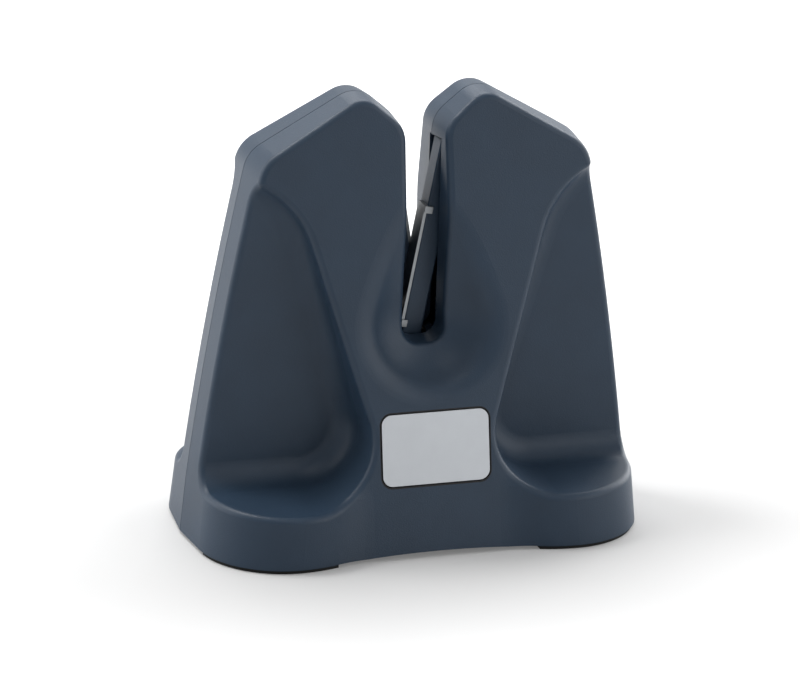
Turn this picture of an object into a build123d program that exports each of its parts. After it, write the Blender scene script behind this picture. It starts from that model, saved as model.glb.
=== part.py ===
from build123d import *
import os
from math import asin, atan2, cos, pi, radians, sin, sqrt, tan

# Manual knife sharpener: a hollow two-shell body with a knife slot between two wings, and two
# spring-loaded sharpening arms that cross in the slot. Millimetres and degrees, +Z up, the front
# faces -Y, and the origin is on the table under the middle of the body.

# Driving dimensions of the outer form
foot_half_width = 80.0          # half width of the foot at the table
side_slope = 0.094              # inward lean of each end, per millimetre of height, up to the flange
waist_slope = 0.124             # the same, just above the flange
flange_height = 22.0            # height of the foot's flange
blend_height = 44.0             # height where the flange's bulge has run into the column
shoulder_inset = 21.3           # how far the shoulders stand in from the ends of the foot
shoulder_radius = 12.0
end_draft = 5.0                 # mould draft of the two ends, each side of the seam
corner_radius = 29.0            # corners of the foot in plan
bulge_at_foot = 4.2             # how far the foot's four bulges stand proud of the front, at the table
bulge_at_flange = 6.6
bulge_at_blend = 1.4
column_half_width = 22.5        # flat middle of the foot's front
blend_half_width = 30.0         # the same, at the blend height
lean_angle = 11.1               # backward lean of the front face
top_half_depth = 10.55          # half depth of the body at the height of the peaks
slab_half_depth = 11.0          # half depth of the thin wall between the scoops
edge_radius = 2.2               # rounding of the outside edges
wall = 2.2                      # wall thickness of both shells

# Wings and the knife slot, seen from the front, at the seam
slot_half_width = 6.2
slot_bottom = 70.0
slot_corner = 4.5
mouth_drop = 12.3               # from the peaks down to the slot's mouth
mouth_radius = 11.0
peak_half_width = 21.0
peak_height = 156.3             # of the corners that the peaks are rounded from
peak_radius = 10.0
wing_slope = 29.5
rim_draft = 4.0

# Dish around the slot
dish_radius = 28.0
dish_half_depth = 14.8          # half depth of the body at the bottom of the dish
dish_height = 81.0
dish_half_angle = 8.5
dish_tilt = 5.2
dish_blend = 12.0
dish_end_drop = 6.3             # from the peaks down to the end of the dish

# Scoops, one in each quarter of the body
scoop_waist = 23.4
scoop_floor_drop = 0.5          # from the flange's height down to the scoops' floor
scoop_corner = 19.0
scoop_knee_inset = 17.0         # from the shoulder in to where the scoop's side turns into its crown
scoop_knee_drop = 28.0          # from the shoulder down to the same place
scoop_rim = 6.7                 # from the shoulder down to the crown, at the end of the body
scoop_draft = 4.0
scoop_back_radius = 8.5

# Foot: rim, arch, base plate and pads
rim_height = 1.4                # the rim stands this far above the table, on the pads
arch_rise = 0.8
arch_half_span = 25.0
base_thickness = 3.0
base_clearance = 0.25
pad_inset = 1.0
pad_inner_x = 36.0
pad_inner_y = 20.0
pad_corner = 4.0

# Badge
badge_width = 38.0
badge_height = 24.4
badge_corner = 3.5
badge_centre = 37.0             # height of its centre
badge_thickness = 1.1
badge_gap = 0.45
badge_recess = 1.2
adhesive_thickness = 0.25
adhesive_margin = 1.0

# Sharpening arms: the right arm is in the front half, the left one is it turned half round
arm_angle = 10.0                # lean of each arm from upright, at rest
arm_travel = 10.0               # how far a knife can push an arm open
cross_height = 101.5            # height at which the sharpening faces cross
arm_width = 8.0
arm_depth = 7.2
arm_gap = 0.4                   # space between the two arms
arm_length = 97.0               # pivot to tip
tip_width = 3.6
tip_radius = 1.6
taper_start = 75.0
hub_radius = 6.5
pivot_height = 42.0
plate_low = 29.8                # ends of the sharpening plate, from the pivot
plate_high = 72.8
plate_thickness = 1.0
tab_length = 2.4
low_tab_reach = 2.0
high_tab_reach = 2.8
tab_thickness = 0.7
arm_edge_radius = 0.6
pocket_clearance = 1.2
pocket_overlap = 2.0            # how far each arm's pocket runs past the seam
pocket_low = 64.0               # below this the arms swing in the open inside

# Pivots
pin_radius = 2.0
pin_running_clearance = 0.05
bush_radius = 3.0
press_clearance = 0.02
washer_radius = 4.5
washer_thickness = 0.4
washer_play = 0.1
pin_boss_radius = 4.5
pin_front_depth = 16.0
pin_rear_depth = 8.0
pin_end_play = 0.3

# Return springs and rest stops
tail_reach = 14.0               # from the pivot to the spring that presses on the arm's tail
tail_height = 6.0
spring_radius = 2.6             # mean radius of the coil
spring_wire = 0.8
spring_turns = 8
spring_play = 0.1
seat_height = 68.0              # underside of the seat that the spring pushes against
seat_thickness = 3.0
seat_width = 9.0
spigot_radius = 1.4
spigot_length = 3.0
stop_height = 62.0
stop_length = 10.0
stop_thickness = 3.0
bumper_thickness = 1.5
bumper_play = 0.15
seam_play = 0.3                 # inside ribs end this far short of the seam
seam_groove_width = 0.15        # groove round the outside, in each shell, along the seam
seam_groove_depth = 0.25

# Screws
screw_radius = 1.5
screw_hole_clearance = 0.1
head_radius = 2.8
head_height = 1.8
head_clearance = 0.3
drive_width = 1.0
drive_depth = 0.9
shell_screw_places = ((38.0, 128.0), (58.0, 40.0))
shell_screw_seat = 6.0
shell_screw_length = 14.0
shell_boss_radius = 4.2
base_screw_place = (60.0, 28.0)
base_screw_length = 9.0
base_boss_radius = 3.6

FAR = 100.0                     # beyond the body, sideways
DEEP = 60.0                     # beyond the body, front to back
HIGH = 200.0                    # beyond the body, upwards
LOW = -10.0                     # below the table
shoulder_run_on = 40.0          # how far the sides are drawn past the shoulders, before the tops are cut
flange_run_on = 1.0             # how far the flange's top is drawn past the ends, before they are cut
crown_run_on = 15.0             # how many degrees the crown's arc is drawn past the end of the body

# Places that follow from these
shoulder_half_width = foot_half_width - shoulder_inset
shoulder_height = peak_height - (shoulder_half_width - peak_half_width) * tan(radians(wing_slope))
scoop_floor = flange_height - scoop_floor_drop
slot_mouth = peak_height - mouth_drop
dish_end = peak_height - dish_end_drop


def lean_depth(z, inset=0.0):
    """Half depth of the leaning front face at height z."""
    depth = top_half_depth + (peak_height - z) * tan(radians(lean_angle))
    return depth - inset / cos(radians(lean_angle))


def pick(face, x, z):
    """Corners of a sketch at plus and minus x, and at z."""
    return [v for v in face.vertices() if abs(abs(v.X) - x) < 0.01 and abs(v.Y - z) < 0.01]


def flange_section(z, bulge, flat_width, inset):
    """Plan outline of the front half of the foot, at height z."""
    draft = radians(end_draft)
    end = foot_half_width - side_slope * z - inset / cos(draft)
    middle = lean_depth(z, inset)
    front = lean_depth(z) + bulge - inset
    if z > flange_height:
        end += flange_run_on
    r = corner_radius - inset
    centre_y = r - front
    centre_x = end + centre_y * tan(draft) - r / cos(draft)
    half_turn = radians(-(90 + end_draft) / 2)

    def half(side):
        def at(x, y):
            return (side * x, y)
        touch = at(centre_x + r * cos(draft), centre_y - r * sin(draft))
        middle_of_turn = at(centre_x + r * cos(half_turn), centre_y + r * sin(half_turn))
        bulge = at(centre_x, -front)
        flat = at(flat_width, -middle)
        halfway = at((centre_x + flat_width) / 2, -(front + middle) / 2)
        return [
            Line(at(end, 0), touch),
            ThreePointArc(touch, middle_of_turn, bulge),
            TangentArc([bulge, halfway], tangent=(-side, 0)),
            TangentArc([flat, halfway], tangent=(side, 0)),
        ]

    across = Line((flat_width, -middle), (-flat_width, -middle))
    return Plane.XY.offset(z) * make_face(half(1) + half(-1) + [across, Line((-end, 0), (end, 0))])


def flange(inset):
    """Front half of the foot, blending into the column above it."""
    levels = (
        (0, bulge_at_foot, column_half_width),
        (flange_height, bulge_at_flange, column_half_width),
        (blend_height, bulge_at_blend, blend_half_width),
    )
    return loft([flange_section(*level, inset) for level in levels], ruled=True)


def side_region(inset):
    """Everything on the inner side of the right-hand end, in the front half."""
    shift = inset / cos(radians(end_draft))
    foot = (foot_half_width - side_slope * LOW - shift, LOW)
    knee = (foot_half_width - side_slope * flange_height - shift, flange_height)
    shoulder = (shoulder_half_width - shift, shoulder_height)
    side = TangentArc([knee, shoulder], tangent=(-waist_slope, 1))
    over = side @ 1 + (side % 1) * shoulder_run_on
    outline = [
        Line(foot, knee),
        side,
        Line(shoulder, over),
        Line(over, (-FAR, over.Y)),
        Line((-FAR, over.Y), (-FAR, LOW)),
        Line((-FAR, LOW), foot),
    ]
    draft = radians(end_draft)
    return extrude(Plane.XZ * make_face(outline), amount=DEEP, dir=(-sin(draft), -cos(draft), 0))


def lean_wedge(inset):
    """Front half of the body's side view: upright at the seam, leaning at the front."""
    top = peak_height + shoulder_run_on
    points = [(0, LOW), (-lean_depth(LOW, inset), LOW), (-lean_depth(top, inset), top), (0, top)]
    return extrude(Plane.YZ * make_face(Polyline(*points, close=True)), amount=FAR, both=True)


def sky_cutter(inset):
    """What is cut away above the wings and down the knife slot."""
    fall = tan(radians(wing_slope))
    right = [
        (slot_half_width, slot_bottom),
        (slot_half_width, slot_mouth),
        (peak_half_width, peak_height),
        (FAR, peak_height - (FAR - peak_half_width) * fall),
        (FAR, HIGH),
    ]
    left = [(-x, z) for x, z in reversed(right)]
    face = make_face(Polyline(*(right + left), close=True))
    face = fillet(pick(face, slot_half_width, slot_bottom), slot_corner)
    face = fillet(pick(face, slot_half_width, slot_mouth), mouth_radius)
    face = fillet(pick(face, peak_half_width, peak_height), peak_radius)
    if inset:
        face = offset(face, amount=inset)
    return extrude(Plane.XZ * face, amount=2.2 * slab_half_depth, taper=-rim_draft)


def dish_cutter(inset):
    """Ball running into an upright cone, which leaves the hollow around the slot."""
    r = dish_radius + inset
    half_angle = radians(dish_half_angle)
    length = dish_end - dish_height + dish_radius
    start = (r * cos(half_angle), r * sin(half_angle))
    end = (start[0] - length * tan(half_angle), start[1] + length)
    below = radians(-40)
    profile = make_face([
        ThreePointArc((0, -r), (r * cos(below), r * sin(below)), start),
        Line(start, end),
        Line(end, (0, end[1])),
        Line((0, end[1]), (0, -r)),
    ])
    ball = revolve(Plane.XZ * profile, Axis.Z, 360)
    return Pos(0, -dish_half_depth - dish_radius, dish_height) * Rot(-dish_tilt, 0, 0) * ball


def scoop_cutter(inset):
    """Right-hand front scoop: flat floor, leaning side and a rounded crown."""
    centre = (scoop_waist + scoop_corner, scoop_floor + scoop_corner)
    knee = (shoulder_half_width - scoop_knee_inset, shoulder_height - scoop_knee_drop)
    across = knee[0] - centre[0]
    up = knee[1] - centre[1]
    lean = atan2(across, up) + asin(scoop_corner / sqrt(across ** 2 + up ** 2))
    across = scoop_knee_inset
    up = scoop_knee_drop - scoop_rim
    crown_radius = (across ** 2 + up ** 2) / (2 * (across * cos(lean) - up * sin(lean)))
    crown = (knee[0] + crown_radius * cos(lean), knee[1] - crown_radius * sin(lean))
    side_turn = pi - lean
    last_turn = atan2(knee[1] + up - crown[1], knee[0] + across - crown[0]) - radians(crown_run_on)

    def around(middle, radius, turn):
        return (middle[0] + (radius + inset) * cos(turn), middle[1] + (radius + inset) * sin(turn))

    floor = around(centre, scoop_corner, -pi / 2)
    rise = around(centre, scoop_corner, side_turn)
    side = around(crown, crown_radius, side_turn)
    last = around(crown, crown_radius, last_turn)
    over = (FAR, last[1] - (FAR - last[0]) / tan(last_turn))
    outline = make_face([
        Line((FAR, floor[1]), floor),
        ThreePointArc(floor, around(centre, scoop_corner, (side_turn + 3 * pi / 2) / 2), rise),
        Line(rise, side),
        ThreePointArc(side, around(crown, crown_radius, (side_turn + last_turn) / 2), last),
        Line(last, over),
        Line(over, (FAR, floor[1])),
    ])
    back = slab_half_depth - inset
    cutter = extrude(Plane.XZ.offset(back) * outline, amount=DEEP, taper=-scoop_draft)
    edges = []
    for edge in cutter.edges():
        box = edge.bounding_box()
        if box.size.Y < 0.01 and abs(box.max.Y + back) < 0.01 and box.min.X < FAR - 1:
            edges.append(edge)
    return fillet(edges, scoop_back_radius + inset)


def sharp_edges(shape, limit=25):
    """Outside edges whose two faces turn by more than the limit, off the seam and the foot."""
    sides = [(face, face.edges()) for face in shape.faces()]
    found = []
    for edge in shape.edges():
        middle = edge @ 0.5
        if middle.Y > -0.5 or middle.Z < 1:
            continue
        pair = [face for face, edges in sides if any(edge.is_same(other) for other in edges)]
        if len(pair) == 2 and pair[0].normal_at(middle).get_angle(pair[1].normal_at(middle)) > limit:
            found.append(edge)
    return found


def round_shoulders(block, inset):
    """Round the outer top corners of the wings."""
    shoulders = []
    for edge in block.edges():
        c = edge.center()
        near = abs(abs(c.X) + inset - shoulder_half_width) < 3 and abs(c.Z + inset - shoulder_height) < 3
        if near and edge.bounding_box().size.Y > 5:
            shoulders.append(edge)
    return fillet(shoulders, shoulder_radius - inset)


def half_form(inset=0.0):
    """Front half of the body as a solid block, drawn in by inset. Only the outside is rounded."""
    outside = inset == 0
    right = side_region(inset)
    ends = right & mirror(right, Plane.YZ)
    block = ends & lean_wedge(inset)
    below = block_between(-2 * FAR, 2 * FAR, -2 * DEEP, 2 * DEEP, LOW - HIGH, dish_end)
    lower = (block & below) - dish_cutter(inset)
    if outside:
        lip = []
        for edge in lower.edges():
            p = edge @ 0.5
            on_face = abs(p.Y + lean_depth(p.Z)) < 0.02
            if on_face and abs(p.X) < dish_radius and 1 < p.Z < dish_end - 1:
                lip.append(edge)
        lower = fillet(lip, dish_blend)
    block = lower + (block - below) - sky_cutter(inset)
    block = round_shoulders(block, inset)
    skirt = Box(2 * FAR, DEEP, 2 * blend_height, align=(Align.CENTER, Align.MAX, Align.CENTER))
    middle = Box(2 * column_half_width, 4 * DEEP, 4 * FAR)
    block = block - (Pos(0, -slab_half_depth - 1.5, 0) * skirt - middle)
    scoop = scoop_cutter(inset)
    block = block + (flange(inset) & ends) - scoop - mirror(scoop, Plane.YZ)
    if outside:
        block = fillet(sharp_edges(block), edge_radius)
    return block


def turned(shape):
    """The same shape turned half round the upright axis."""
    return Rot(0, 0, 180) * shape


def rod(radius, x, z, start, end):
    """Round bar along Y from start to end."""
    bar = Cylinder(radius, end - start, align=(Align.CENTER, Align.CENTER, Align.MIN))
    return Pos(x, start, z) * Rot(-90, 0, 0) * bar


def post(radius, x, y, low, high):
    """Round upright bar."""
    return Pos(x, y, low) * Cylinder(radius, high - low, align=(Align.CENTER, Align.CENTER, Align.MIN))


def block_between(x0, x1, y0, y1, z0, z1):
    """Box given by its opposite corners."""
    size = Box(x1 - x0, y1 - y0, z1 - z0)
    return Pos((x0 + x1) / 2, (y0 + y1) / 2, (z0 + z1) / 2) * size


# Places that the arms, the shells and the pivots share
pivot_x = ((pivot_height + arm_width / 2 * sin(radians(arm_angle)) - cross_height)
           * tan(radians(arm_angle)) + arm_width / 2 * cos(radians(arm_angle)))
arm_back = -arm_gap / 2
arm_front = arm_back - arm_depth
arm_middle = (arm_front + arm_back) / 2
bar_left = plate_thickness - arm_width / 2
spring_x = pivot_x - tail_reach
tail_top = pivot_height + tail_height / 2
short_boss_end = arm_front - washer_thickness - washer_play
long_boss_end = arm_back + washer_thickness + washer_play


def arm_frame(angle=arm_angle):
    """Plane of the right arm: x across the arm, from its middle, and y along it from the pivot."""
    a = radians(angle)
    return Plane(origin=(pivot_x, 0, pivot_height), x_dir=(cos(a), 0, -sin(a)), z_dir=(0, -1, 0))


def arm_outline():
    """Outline of the bar from the hub to its rounded tip. The plate lies on its left side."""
    half = arm_width / 2
    tip_outer = bar_left + tip_width
    outer = [(half, 0), (half, taper_start), (tip_outer, arm_length)]
    face = make_face(Polyline((bar_left, 0), *outer, (bar_left, arm_length), close=True))
    tips = [v for v in face.vertices() if abs(v.Y - arm_length) < 0.01]
    face = fillet(tips, tip_radius)
    knee = [v for v in face.vertices() if abs(v.Y - taper_start) < 0.01]
    return fillet(knee, 30.0) + Circle(hub_radius)


def slice_of(face, front, back, angle=arm_angle):
    """Solid from a sketch in the arm's plane, between two depths of the body."""
    frame = arm_frame(angle)
    return extrude(frame.offset(-back) * face, amount=back - front)


def strip(x0, x1, y0, y1):
    """Rectangle between two corners, in the arm's plane."""
    return Pos((x0 + x1) / 2, (y0 + y1) / 2) * Rectangle(x1 - x0, y1 - y0)


def tab_strips():
    """Sketches of the plate's two pairs of tabs, at the ends of the plate."""
    left = -arm_width / 2
    low = strip(left, left + low_tab_reach, plate_low, plate_low + tab_length)
    high = strip(left, left + high_tab_reach, plate_high - tab_length, plate_high)
    return low + high


def make_tail():
    """Short tail on the hub, with the spigot that the return spring stands on."""
    end = rod(tail_height / 2, spring_x - tail_height / 4, pivot_height, arm_front, arm_back)
    half = tail_height / 2
    bar = block_between(
        spring_x - tail_height / 4, pivot_x, arm_front, arm_back, pivot_height - half, pivot_height + half)
    spigot = post(spigot_radius, spring_x, arm_middle, pivot_height, tail_top + spigot_length)
    return end + bar + spigot


def front_face(shape):
    """The shape's foremost face."""
    return shape.faces().sort_by(Axis.Y)[0]


def make_arm():
    """Right arm: hub, tapering bar with a flat side for its plate, and the tail for its spring."""
    body = slice_of(arm_outline(), arm_front, arm_back)
    pivot = Vector(pivot_x, arm_front, pivot_height)
    beyond_hub = [e for e in front_face(body).edges() if (e @ 0.5 - pivot).length > hub_radius + 0.1]
    body = fillet(beyond_hub, arm_edge_radius)
    body = body - slice_of(tab_strips(), arm_back - tab_thickness, arm_back + 1)
    bore = rod(bush_radius + press_clearance, pivot_x, pivot_height, arm_front - 1, arm_back + 1)
    return body + make_tail() - bore


def make_sharpening_plate():
    """Steel plate on the arm's inner side, with bent tabs that grip the arm at both ends."""
    left = -arm_width / 2
    web = slice_of(strip(left, left + plate_thickness, plate_low, plate_high), arm_front, arm_back)
    front_tabs = slice_of(tab_strips(), arm_front - tab_thickness, arm_front)
    rear_tabs = slice_of(tab_strips(), arm_back - tab_thickness, arm_back)
    return web + front_tabs + rear_tabs


def make_bush():
    """Brass bush pressed into the hub."""
    outer = rod(bush_radius, pivot_x, pivot_height, arm_front, arm_back)
    bore = rod(pin_radius + pin_running_clearance, pivot_x, pivot_height, arm_front - 1, arm_back + 1)
    return outer - bore


def make_pin():
    """Steel pin that runs from the front shell's boss to the rear shell's."""
    return rod(pin_radius, pivot_x, pivot_height, -pin_front_depth, pin_rear_depth)


def make_washers():
    """Thrust washers at both faces of the hub."""
    hole = rod(pin_radius + pin_running_clearance, pivot_x, pivot_height, -DEEP, DEEP)
    front = rod(washer_radius, pivot_x, pivot_height, arm_front - washer_thickness, arm_front) - hole
    rear = rod(washer_radius, pivot_x, pivot_height, arm_back, arm_back + washer_thickness) - hole
    return Compound([front.solid(), rear.solid()])


def make_spring():
    """Compression spring between the arm's tail and the seat in the shell."""
    start = tail_top + spring_play + spring_wire / 2
    length = seat_height - spring_play - spring_wire / 2 - start
    path = Helix(pitch=length / spring_turns, height=length, radius=spring_radius)
    section = Plane(origin=path @ 0, z_dir=path % 0) * Circle(spring_wire / 2)
    return Pos(spring_x, arm_middle, start) * sweep(section, path=path)


def stop_frame_strip(near, far):
    """Strip beside the resting arm's inner face, between two distances from it."""
    along = (stop_height - pivot_height) / cos(radians(arm_angle))
    return strip(bar_left - far, bar_left - near, along - stop_length / 2, along + stop_length / 2)


def make_bumper():
    """Rubber bumper that the arm rests on."""
    near = bumper_play
    return slice_of(stop_frame_strip(near, near + bumper_thickness), arm_front, arm_back - seam_play)


def arm_pocket(start, end):
    """Room that the right arm sweeps in the wing, with clearance, between two depths."""
    room = None
    steps = 4
    for step in range(steps + 1):
        angle = arm_angle + arm_travel * step / steps
        face = offset(arm_outline(), amount=pocket_clearance)
        swept = slice_of(face, start, end, angle)
        room = swept if room is None else room + swept
    return room & block_between(-FAR, FAR, -DEEP, DEEP, pocket_low, HIGH)


def shell_insides():
    """Bosses, spring seat and rest stop that stand on the inside of a shell."""
    short_boss = rod(pin_boss_radius, pivot_x, pivot_height, -DEEP, short_boss_end)
    long_boss = rod(pin_boss_radius, -pivot_x, pivot_height, -DEEP, -long_boss_end)
    seat = block_between(
        spring_x - seat_width / 2, spring_x + seat_width / 2, -DEEP, -seam_play,
        seat_height, seat_height + seat_thickness)
    spigot = post(spigot_radius, spring_x, arm_middle, seat_height - spigot_length, seat_height + 1)
    near = bumper_play + bumper_thickness
    rib = slice_of(stop_frame_strip(near, near + stop_thickness), -DEEP, -seam_play)
    parts = short_boss + long_boss + seat + spigot + rib
    for side in (-1, 1):
        x, y = base_screw_place
        parts = parts + post(base_boss_radius, side * x, -y, rim_height + base_thickness, flange_height)
        for boss_x, boss_z in shell_screw_places:
            parts = parts + rod(shell_boss_radius, side * boss_x, boss_z, -DEEP, 0)
    return parts


def pin_holes():
    """Blind holes for the ends of the two pivot pins, in the front shell."""
    r = pin_radius + pin_running_clearance
    own = rod(r, pivot_x, pivot_height, -pin_front_depth - pin_end_play, 0)
    other = rod(r, -pivot_x, pivot_height, -pin_rear_depth - pin_end_play, 0)
    return own + other


def base_pilot_holes():
    """Holes in the base bosses, for the screws that hold the base plate."""
    x, y = base_screw_place
    holes = None
    for side in (-1, 1):
        top = rim_height + base_thickness + base_screw_length
        hole = post(screw_radius + screw_hole_clearance / 2, side * x, -y, 0, top)
        holes = hole if holes is None else holes + hole
    return holes


def arch():
    """Low arch across the foot, between the pads."""
    radius = (arch_half_span ** 2 + arch_rise ** 2) / (2 * arch_rise)
    return rod(radius, 0, rim_height + arch_rise - radius, -DEEP, DEEP)


def seam_groove():
    """Narrow groove round the outside of the front half, along the seam."""
    right = side_region(seam_groove_depth)
    outline = right & mirror(right, Plane.YZ) & lean_wedge(seam_groove_depth)
    outline = round_shoulders(outline - sky_cutter(seam_groove_depth), seam_groove_depth)
    return block_between(-FAR, FAR, -seam_groove_width, 1, LOW, HIGH) - outline


def make_half_shell(outer, inner):
    """Hollow half with its inside features, before what only one of the shells has."""
    under = block_between(-FAR, FAR, -DEEP, DEEP, LOW * 2, rim_height)
    shell = outer - inner
    shell = shell + (shell_insides() & outer)
    shell = shell - arm_pocket(-(slab_half_depth - wall), 1)
    shell = shell - turned(arm_pocket(-0.5, pocket_overlap))
    return shell - seam_groove() - pin_holes() - base_pilot_holes() - under - arch()


def badge_plane(depth=0.0):
    """Plane of the badge, at a depth below the front face."""
    lean = radians(lean_angle)
    normal = Vector(0, -cos(lean), sin(lean))
    middle = Vector(0, -lean_depth(badge_centre), badge_centre)
    return Plane(origin=middle - normal * depth, x_dir=(1, 0, 0), z_dir=normal)


def badge_sheet(depth, thickness, grow):
    """Rounded sheet whose back lies at the given depth, and which grows by grow all round."""
    outline = RectangleRounded(badge_width + 2 * grow, badge_height + 2 * grow, badge_corner + grow)
    return extrude(badge_plane(depth) * outline, amount=thickness)


def screw(length):
    """Pan-head screw standing on its tip, its head upwards, with a cross recess."""
    body = Cylinder(screw_radius, length, align=(Align.CENTER, Align.CENTER, Align.MAX))
    head = Cylinder(head_radius, head_height, align=(Align.CENTER, Align.CENTER, Align.MIN))
    rim = head.edges().group_by(Axis.Z)[-1]
    head = fillet(rim, 0.5)
    arms = Box(3.4, drive_width, 2 * drive_depth) + Box(drive_width, 3.4, 2 * drive_depth)
    return body + head - Pos(0, 0, head_height) * arms


def shell_screw_holes():
    """Clearance holes and head recesses through the rear shell."""
    holes = None
    for side in (-1, 1):
        for x, z in shell_screw_places:
            shank = rod(screw_radius + screw_hole_clearance, side * x, z, -1, DEEP)
            recess = rod(head_radius + head_clearance, side * x, z, shell_screw_seat, DEEP)
            holes = shank + recess if holes is None else holes + shank + recess
    return holes


def shell_pilot_holes():
    """Blind holes in the front shell for the shell screws."""
    depth = shell_screw_length - shell_screw_seat + 0.5
    holes = None
    for side in (-1, 1):
        for x, z in shell_screw_places:
            hole = rod(screw_radius + screw_hole_clearance / 2, side * x, z, -depth, 1)
            holes = hole if holes is None else holes + hole
    return holes


def make_shell_screws():
    """Four screws from the rear shell into the front shell."""
    made = []
    for side in (-1, 1):
        for x, z in shell_screw_places:
            fitted = Pos(side * x, shell_screw_seat, z) * Rot(-90, 0, 0) * screw(shell_screw_length)
            made.append(fitted.solid())
    return Compound(made)


def make_base_screws():
    """Four screws up through the base plate."""
    seat = rim_height + head_height + head_clearance
    made = []
    x, y = base_screw_place
    for side in (-1, 1):
        for face in (-1, 1):
            fitted = Pos(side * x, face * y, seat) * Rot(180, 0, 0) * screw(base_screw_length)
            made.append(fitted.solid())
    return Compound(made)


def make_base_plate():
    """Cover that closes the foot inside the rim."""
    half = flange(wall + base_clearance)
    plate = half + mirror(half, Plane.XZ)
    plate = plate & block_between(-FAR, FAR, -DEEP, DEEP, rim_height, rim_height + base_thickness)
    plate = plate - arch()
    x, y = base_screw_place
    seat = rim_height + head_height + head_clearance
    for side in (-1, 1):
        for face in (-1, 1):
            plate = plate - post(screw_radius + screw_hole_clearance, side * x, face * y, 0, seat + 5)
            plate = plate - post(head_radius + head_clearance, side * x, face * y, 0, seat)
    return plate


def make_pad():
    """Rubber pad under the front right corner of the foot."""
    sheet = extrude(flange_section(0, bulge_at_foot, column_half_width, pad_inset), amount=rim_height)
    corner = block_between(pad_inner_x, FAR, -DEEP, -pad_inner_y, -1, rim_height + 1)
    inner = [e for e in corner.edges().filter_by(Axis.Z) if abs(e.center().X - pad_inner_x) < 0.01]
    inner = [e for e in inner if abs(e.center().Y + pad_inner_y) < 0.01]
    return sheet & fillet(inner, pad_corner)


def save(name, shape):
    """Write one part to its own file."""
    export_step(shape, f"parts/{name}.step")


def main():
    os.makedirs("parts", exist_ok=True)
    outer = half_form()
    inner = half_form(wall)
    half = make_half_shell(outer, inner)
    recess = badge_sheet(badge_recess, badge_recess + 5, badge_gap)
    save("front_shell", half - shell_pilot_holes() - recess)
    save("rear_shell", turned(half) - shell_screw_holes())
    save("badge_adhesive", badge_sheet(badge_recess, adhesive_thickness, -adhesive_margin))
    save("badge_plate", badge_sheet(badge_recess - adhesive_thickness, badge_thickness, 0))
    save("base_plate", make_base_plate())
    pad = make_pad()
    save("front_right_foot", pad)
    save("front_left_foot", mirror(pad, Plane.YZ))
    save("rear_right_foot", mirror(pad, Plane.XZ))
    save("rear_left_foot", turned(pad))
    makers = {
        "arm": make_arm,
        "sharpening_plate": make_sharpening_plate,
        "arm_bush": make_bush,
        "arm_washers": make_washers,
        "pivot_pin": make_pin,
        "return_spring": make_spring,
        "stop_bumper": make_bumper,
    }
    for name, maker in makers.items():
        shape = maker()
        save(f"right_{name}", shape)
        save(f"left_{name}", turned(shape))
    save("shell_screws", make_shell_screws())
    save("base_screws", make_base_screws())


main()
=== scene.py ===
from math import cos, pi, radians, sin

import bpy
from mathutils import Matrix, Vector


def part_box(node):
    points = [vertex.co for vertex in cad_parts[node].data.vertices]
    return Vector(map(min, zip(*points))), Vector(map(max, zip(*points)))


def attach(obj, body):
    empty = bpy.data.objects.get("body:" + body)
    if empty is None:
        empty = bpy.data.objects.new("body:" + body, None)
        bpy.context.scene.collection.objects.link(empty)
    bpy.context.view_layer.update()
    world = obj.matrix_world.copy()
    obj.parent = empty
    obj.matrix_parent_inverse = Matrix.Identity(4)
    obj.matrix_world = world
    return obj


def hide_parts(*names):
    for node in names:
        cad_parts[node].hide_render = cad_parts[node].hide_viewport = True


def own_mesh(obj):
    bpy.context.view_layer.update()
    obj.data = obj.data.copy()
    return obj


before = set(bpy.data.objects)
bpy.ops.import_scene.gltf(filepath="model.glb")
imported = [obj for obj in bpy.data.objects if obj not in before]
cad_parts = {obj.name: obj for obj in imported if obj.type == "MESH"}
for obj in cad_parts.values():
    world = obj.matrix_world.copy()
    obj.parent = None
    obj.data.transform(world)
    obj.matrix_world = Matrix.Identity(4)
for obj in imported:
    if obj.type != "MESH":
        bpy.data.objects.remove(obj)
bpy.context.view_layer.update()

# Camera, at the photograph's viewing angle
IMAGE_WIDTH, IMAGE_HEIGHT = 800, 688
CAMERA_AZIMUTH = radians(18.659)      # to the left of the front
CAMERA_ELEVATION = radians(18.355)
CAMERA_ROLL = 0.033                   # in radians
CAMERA_DISTANCE = 1.5
CAMERA_TARGET = Vector((0.0, 0.0, 0.080))
TARGET_PIXEL = (408.8, 295.9)         # where the target stands in the photograph
PIXELS_PER_METRE = 2924.0             # at the target's distance
SENSOR_WIDTH = 36.0                   # in millimetres
VIEW_END = 20.0

# Lamps: name, place, side of the square and watts
LAMP_TARGET = CAMERA_TARGET
LAMPS = (
    ("left_softbox", (-1.1, 0.45, 0.55), 1.4, 13.0),
    ("right_softbox", (1.1, 0.55, 0.50), 1.0, 14.0),
    ("rear_softbox", (0.1, 0.7, 1.0), 0.8, 8.0),
    ("top_lamp", (-0.45, 0.25, 1.1), 0.3, 6.0),
    ("dish_lamp", (-0.15, -0.55, 0.85), 0.12, 0.6),
    ("front_softbox", (1.07, -0.9, 0.30), 1.6, 13.5),
)

# Light from the surroundings, which grows from the front to the back
SKY_COLOUR = (0.8, 0.8, 0.8)
FRONT_LIGHT = 0.08
BACK_LIGHT = 1.4
GROWS_FROM = -0.4                     # Y of the direction up to which the light is the front's
GROWS_TO = 0.9                        # and from which it is the back's

# Floor, whose glow grows away from the part until it is white together with the lamps' light
FLOOR_HALF = 6.0
FLOOR_COLOUR = (0.52, 0.52, 0.52)
NEAR_GLOW = 0.15
FAR_GLOW = 0.60
GLOW_OVAL = 0.55                      # the part is long, so the near floor is an oval
GLOW_START = 0.055                    # half depth of the oval where the glow starts to grow
GLOW_END = 0.22

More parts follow.
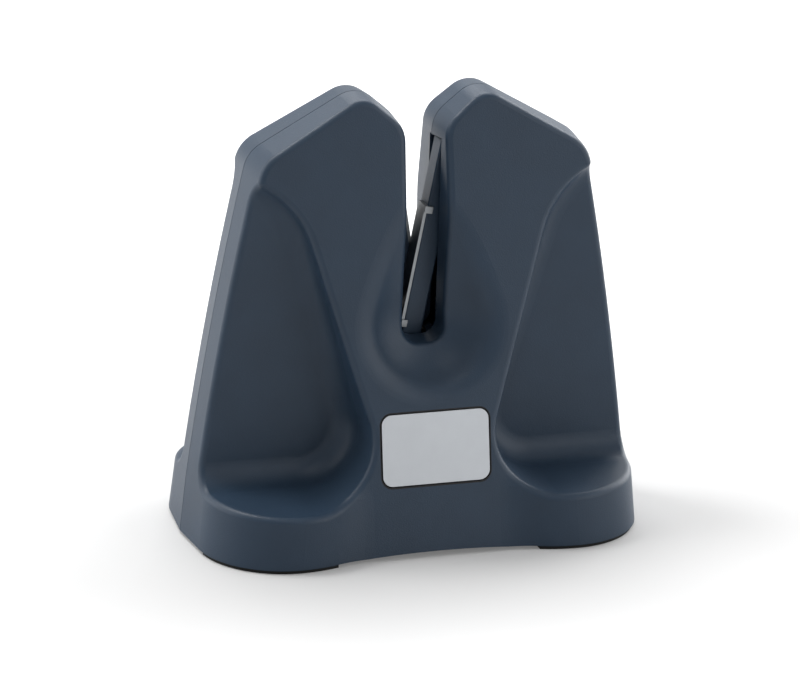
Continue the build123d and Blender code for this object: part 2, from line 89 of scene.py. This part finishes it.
# Painted shade, nearly black, in the badge's recess and in a thin band beside it
BADGE_CORNER = 0.0035
BADGE_SHADE_WIDTH = 0.00075               # width of the painted shade: the gap round the badge and a band beside it
BADGE_SHADE_DEPTH = 1.0                   # in front of the badge and behind it
BADGE_GAP_SHADE = (0.002, 0.002, 0.003)

# Return springs
UP = Vector((0.0, 0.0, 1.0))
SPRING_TURNS = 8
STEPS_PER_TURN = 28
WIRE_RADIUS = 0.0004
WIRE_SIDES = 10
CLOSED_RISE = 2.1 * WIRE_RADIUS       # rise of the first and the last turn

# Unevenness of the materials
NOISE_LOW, NOISE_HIGH = 0.3, 0.7      # between these, noise turns a colour from darker to lighter
PLASTIC_BLOTCH = 0.018
PLASTIC_VARIATION = 0.06
METAL_BLOTCH = 0.006
METAL_LINE = 0.00012
METAL_LINE_DEPTH = 0.000006

# Colours of the materials, as linear values
BODY_BLUE_GREY = (0.022, 0.040, 0.067)
PLATE_BLACK = (0.012, 0.013, 0.015)
RUBBER_BLACK = (0.010, 0.010, 0.010)
BADGE_SILVER = (0.35, 0.365, 0.385)
STEEL = (0.19, 0.20, 0.21)
SPRING_STEEL = (0.46, 0.47, 0.49)
ZINC = (0.66, 0.67, 0.69)
BRASS = (0.66, 0.46, 0.18)
NYLON = (0.72, 0.70, 0.64)
TAPE_WHITE = (0.70, 0.70, 0.66)
GLOW_WHITE = (1.0, 1.0, 1.0)
BODY_SPECULAR = 0.28


def add_camera():
    """Frame the part as the photograph does."""
    forward = Vector((
        sin(CAMERA_AZIMUTH) * cos(CAMERA_ELEVATION),
        cos(CAMERA_AZIMUTH) * cos(CAMERA_ELEVATION),
        -sin(CAMERA_ELEVATION)))
    level = Vector((cos(CAMERA_AZIMUTH), -sin(CAMERA_AZIMUTH), 0.0))
    upward = level.cross(forward)
    across = level * cos(CAMERA_ROLL) + upward * sin(CAMERA_ROLL)
    along = upward * cos(CAMERA_ROLL) - level * sin(CAMERA_ROLL)
    place = CAMERA_TARGET - forward * CAMERA_DISTANCE
    data = bpy.data.cameras.new("camera")
    data.sensor_width = SENSOR_WIDTH
    data.lens = SENSOR_WIDTH * PIXELS_PER_METRE * CAMERA_DISTANCE / IMAGE_WIDTH
    data.shift_x = (IMAGE_WIDTH / 2 - TARGET_PIXEL[0]) / IMAGE_WIDTH
    data.shift_y = (TARGET_PIXEL[1] - IMAGE_HEIGHT / 2) / IMAGE_WIDTH
    data.clip_end = VIEW_END
    camera = bpy.data.objects.new("camera", data)
    camera.matrix_world = Matrix((
        (across.x, along.x, -forward.x, place.x),
        (across.y, along.y, -forward.y, place.y),
        (across.z, along.z, -forward.z, place.z),
        (0.0, 0.0, 0.0, 1.0)))
    bpy.context.scene.collection.objects.link(camera)
    bpy.context.scene.camera = camera


def add_lamp(name, place, size, watts):
    """Soft square lamp that faces the part."""
    data = bpy.data.lights.new(name, "AREA")
    data.shape = "SQUARE"
    data.size = size
    data.energy = watts
    lamp = bpy.data.objects.new(name, data)
    lamp.location = place
    lamp.rotation_euler = (LAMP_TARGET - Vector(place)).to_track_quat("-Z", "Y").to_euler()
    bpy.context.scene.collection.objects.link(lamp)


def opaque(colour):
    """The colour with full alpha."""
    return (*colour, 1.0)


def node_adder(tree):
    """Empty the tree, and give a function that adds a node with its inputs linked or set."""
    tree.nodes.clear()

    def add(kind, inputs=None, **settings):
        node = tree.nodes.new("ShaderNode" + kind)
        for name, value in settings.items():
            setattr(node, name, value)
        for name, value in (inputs or {}).items():
            if isinstance(value, bpy.types.NodeSocket):
                tree.links.new(value, node.inputs[name])
            else:
                node.inputs[name].default_value = value
        return node

    return add


def new_material(name):
    """Empty material, and the function that adds its nodes."""
    material = bpy.data.materials.new(name)
    material.use_nodes = True
    return material, node_adder(material.node_tree)


def compute(add, operation, *values):
    """Result of an operation on numbers."""
    return add("Math", dict(enumerate(values)), operation=operation).outputs["Value"]


def compute_vector(add, operation, *values):
    """Result of an operation on vectors."""
    return add("VectorMath", dict(enumerate(values)), operation=operation).outputs["Vector"]


def length_of(add, vector):
    """Length of a vector."""
    return add("VectorMath", {0: vector}, operation="LENGTH").outputs["Value"]


def noise(add, where, size, detail=2.0):
    """Noise whose features are about the given size."""
    return add("TexNoise", {"Vector": where, "Scale": 1.0 / size, "Detail": detail}).outputs["Fac"]


def spread(add, factor, low, high):
    """Value that runs from low to high with the factor."""
    return add("MapRange", {"Value": factor, "To Min": low, "To Max": high}).outputs["Result"]


def uneven(add, factor, colour, variation):
    """The colour, darker or lighter by up to the given share as the factor says."""
    node = add("ValToRGB", {"Fac": factor})
    low, high = node.color_ramp.elements
    low.position = NOISE_LOW
    low.color = opaque(value * (1 - variation) for value in colour)
    high.position = NOISE_HIGH
    high.color = opaque(value * (1 + variation) for value in colour)
    return node.outputs["Color"]


def add_surface(add, tint, gloss, relief, depth, constants):
    """Shader with a relief of the given depth, and the material's output."""
    bump = add("Bump", {"Height": relief, "Strength": 1.0, "Distance": depth})
    inputs = {"Base Color": tint, "Roughness": gloss, "Normal": bump.outputs["Normal"], **constants}
    shader = add("BsdfPrincipled", inputs)
    add("OutputMaterial", {"Surface": shader.outputs["BSDF"]})


def paint_badge_gap_shade(add, where, tint):
    """The tint, with shade painted nearly black in the badge's recess and just beside it."""
    low, high = [Vector(corner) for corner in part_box("badge_plate")]
    straight = (high - low) / 2 - Vector((BADGE_CORNER, -BADGE_SHADE_DEPTH, BADGE_CORNER))
    away = compute_vector(add, "ABSOLUTE", compute_vector(add, "SUBTRACT", where, (low + high) / 2))
    past = compute_vector(add, "SUBTRACT", away, straight)
    outside = compute_vector(add, "MAXIMUM", past, (0.0, 0.0, 0.0))
    near = compute(add, "LESS_THAN", length_of(add, outside), BADGE_CORNER + BADGE_SHADE_WIDTH)
    # painted shade: the recess and a thin band of the face round the badge turn nearly black
    mixed = add("MixRGB", {"Fac": near, "Color1": tint, "Color2": opaque(BADGE_GAP_SHADE)})
    return mixed.outputs["Color"]


def moulded(name, colour, rough=(0.36, 0.46), texture=0.00045, depth=0.00006, specular=0.5, badge=False):
    """Moulded plastic or rubber: a fine raised texture, and slight unevenness of colour and gloss."""
    material, add = new_material(name)
    where = add("TexCoord").outputs["Object"]
    fine = noise(add, where, texture, detail=3.0)
    tint = uneven(add, noise(add, where, PLASTIC_BLOTCH), colour, PLASTIC_VARIATION)
    # with badge set, shade is painted in and beside the badge's recess
    if badge:
        tint = paint_badge_gap_shade(add, where, tint)
    add_surface(add, tint, spread(add, fine, *rough), fine, depth, {"Specular IOR Level": specular})
    return material


def metal(name, colour, rough=(0.25, 0.4), stretch=(1.0, 1.0, 0.02), variation=0.08):
    """Metal with fine lines from grinding, drawing or turning, along the axis that stretch makes small."""
    material, add = new_material(name)
    where = add("TexCoord").outputs["Object"]
    stretched = add("Mapping", {"Vector": where, "Scale": stretch}).outputs["Vector"]
    lines = noise(add, stretched, METAL_LINE)
    tint = uneven(add, noise(add, where, METAL_BLOTCH), colour, variation)
    add_surface(add, tint, spread(add, lines, *rough), lines, METAL_LINE_DEPTH, {"Metallic": 1.0})
    return material


def shows_background(add):
    """1 for a ray that shows the background: from the camera, off a gloss or through glass."""
    rays = add("LightPath").outputs
    direct = compute(add, "MAXIMUM", rays["Is Camera Ray"], rays["Is Glossy Ray"])
    return compute(add, "MAXIMUM", direct, rays["Is Transmission Ray"])


def floor_material():
    """Pale floor that turns white away from the part, so that only near shadows show."""
    material, add = new_material("floor")
    where = add("TexCoord").outputs["Object"]
    oval = add("Mapping", {"Vector": where, "Scale": (GLOW_OVAL, 1.0, 1.0)})
    fade_inputs = {
        "Value": length_of(add, oval.outputs["Vector"]),
        "From Min": GLOW_START,
        "From Max": GLOW_END,
        "To Min": NEAR_GLOW,
        "To Max": FAR_GLOW,
    }
    fade = add("MapRange", fade_inputs, interpolation_type="SMOOTHSTEP")
    strength = compute(add, "MULTIPLY", shows_background(add), fade.outputs["Result"])
    cloth = add("BsdfDiffuse", {"Color": opaque(FLOOR_COLOUR)})
    glow = add("Emission", {"Color": opaque(GLOW_WHITE), "Strength": strength})
    both = add("AddShader", {0: cloth.outputs["BSDF"], 1: glow.outputs["Emission"]})
    add("OutputMaterial", {"Surface": both.outputs["Shader"]})
    return material


def add_floor():
    """Large square floor under the part."""
    mesh = bpy.data.meshes.new("floor")
    corners = [(x * FLOOR_HALF, y * FLOOR_HALF, 0.0) for x, y in ((-1, -1), (1, -1), (1, 1), (-1, 1))]
    mesh.from_pydata(corners, [], [(0, 1, 2, 3)])
    floor = bpy.data.objects.new("floor", mesh)
    floor.data.materials.append(floor_material())
    bpy.context.scene.collection.objects.link(floor)


def add_world():
    """Soft surroundings, brighter behind the part than before it, and pale where a ray shows them."""
    world = bpy.data.worlds.new("surroundings")
    bpy.context.scene.world = world
    world.use_nodes = True
    add = node_adder(world.node_tree)
    direction = add("SeparateXYZ", {"Vector": add("TexCoord").outputs["Generated"]})
    around_inputs = {
        "Value": direction.outputs["Y"],
        "From Min": GROWS_FROM,
        "From Max": GROWS_TO,
        "To Min": FRONT_LIGHT,
        "To Max": BACK_LIGHT,
    }
    around = add("MapRange", around_inputs)
    strength = spread(add, shows_background(add), around.outputs["Result"], 1.0)
    sky = add("Background", {"Color": opaque(SKY_COLOUR), "Strength": strength})
    add("OutputWorld", {"Surface": sky.outputs["Background"]})


def spring_height(turn, length):
    """How far up the spring its wire is after so many turns. The first and the last turn lie closed."""
    pitch = (length - 2 * CLOSED_RISE) / (SPRING_TURNS - 2)
    if turn < 1:
        return CLOSED_RISE * turn
    if turn > SPRING_TURNS - 1:
        return length - CLOSED_RISE * (SPRING_TURNS - turn)
    return CLOSED_RISE + pitch * (turn - 1)


def coil_mesh(name, low, high):
    """Coil of round wire that fills the box between two corners."""
    middle = (low + high) / 2
    radius = (high.x - low.x) / 2 - WIRE_RADIUS
    length = high.z - low.z - 2 * WIRE_RADIUS
    steps = SPRING_TURNS * STEPS_PER_TURN
    points = []
    for step in range(steps + 1):
        turn = step / STEPS_PER_TURN
        outward = Vector((cos(2 * pi * turn), sin(2 * pi * turn), 0.0))
        height = low.z + WIRE_RADIUS + spring_height(turn, length)
        centre = Vector((middle.x, middle.y, height)) + radius * outward
        for place in range(WIRE_SIDES):
            around = 2 * pi * place / WIRE_SIDES
            points.append(centre + WIRE_RADIUS * (cos(around) * outward + sin(around) * UP))
    last = steps * WIRE_SIDES
    faces = [tuple(range(WIRE_SIDES)), tuple(reversed(range(last, last + WIRE_SIDES)))]
    for step in range(steps):
        for place in range(WIRE_SIDES):
            here = step * WIRE_SIDES + place
            beside = step * WIRE_SIDES + (place + 1) % WIRE_SIDES
            faces.append((here, here + WIRE_SIDES, beside + WIRE_SIDES, beside))
    mesh = bpy.data.meshes.new(name)
    mesh.from_pydata(points, [], faces)
    mesh.shade_smooth()
    return mesh


def add_spring(side, material):
    """Return spring, a fixed coil of wire in the housing, which its arm's tail presses on."""
    low, high = [Vector(corner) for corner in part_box(f"{side}_return_spring")]
    name = f"{side}_spring_coil"
    spring = bpy.data.objects.new(name, coil_mesh(name, low, high))
    bpy.context.scene.collection.objects.link(spring)
    spring.data.materials.append(material)
    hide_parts(f"{side}_return_spring")
    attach(spring, "housing")
    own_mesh(spring)


body_plastic = moulded("body_plastic", BODY_BLUE_GREY, specular=BODY_SPECULAR)
# the front shell's plastic carries the painted shade round the badge
front_plastic = moulded("front_plastic", BODY_BLUE_GREY, specular=BODY_SPECULAR, badge=True)
base_plastic = moulded("base_plastic", PLATE_BLACK, rough=(0.5, 0.6))
foot_rubber = moulded("foot_rubber", RUBBER_BLACK, rough=(0.75, 0.9), texture=0.0003, specular=0.3)
bumper_rubber = moulded("bumper_rubber", RUBBER_BLACK, rough=(0.7, 0.85), texture=0.0003, specular=0.3)
nylon = moulded("nylon", NYLON, rough=(0.35, 0.45), texture=0.0002, depth=0.00001)
tape = moulded("foam_tape", TAPE_WHITE, rough=(0.8, 0.95), texture=0.0003)
badge_metal = metal(
    "badge_metal", BADGE_SILVER, rough=(0.38, 0.46), stretch=(0.05, 1.0, 1.0), variation=0.015)
steel = metal("sharpening_steel", STEEL, stretch=(1.0, 0.03, 1.0))
pin_steel = metal("pin_steel", STEEL, stretch=(1.0, 0.05, 1.0))
spring_wire = metal("spring_wire", SPRING_STEEL, rough=(0.3, 0.4))
zinc = metal("zinc", ZINC, rough=(0.2, 0.3))
brass = metal("brass", BRASS, rough=(0.2, 0.32))

material_of = {
    "front_shell": front_plastic,
    "rear_shell": body_plastic,
    "base_plate": base_plastic,
    "badge_plate": badge_metal,
    "badge_adhesive": tape,
    "shell_screws": zinc,
    "base_screws": zinc,
}
for side in ("right", "left"):
    material_of[f"front_{side}_foot"] = foot_rubber
    material_of[f"rear_{side}_foot"] = foot_rubber
    material_of[f"{side}_arm"] = body_plastic
    material_of[f"{side}_sharpening_plate"] = steel
    material_of[f"{side}_arm_bush"] = brass
    material_of[f"{side}_arm_washers"] = nylon
    material_of[f"{side}_pivot_pin"] = pin_steel
    material_of[f"{side}_stop_bumper"] = bumper_rubber

for node, material in material_of.items():
    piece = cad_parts[node]
    piece.data.materials.clear()
    piece.data.materials.append(material)
for side in ("right", "left"):
    add_spring(side, spring_wire)

add_camera()
add_floor()
add_world()
for lamp in LAMPS:
    add_lamp(*lamp)

scene = bpy.context.scene
scene.view_settings.view_transform = "Standard"
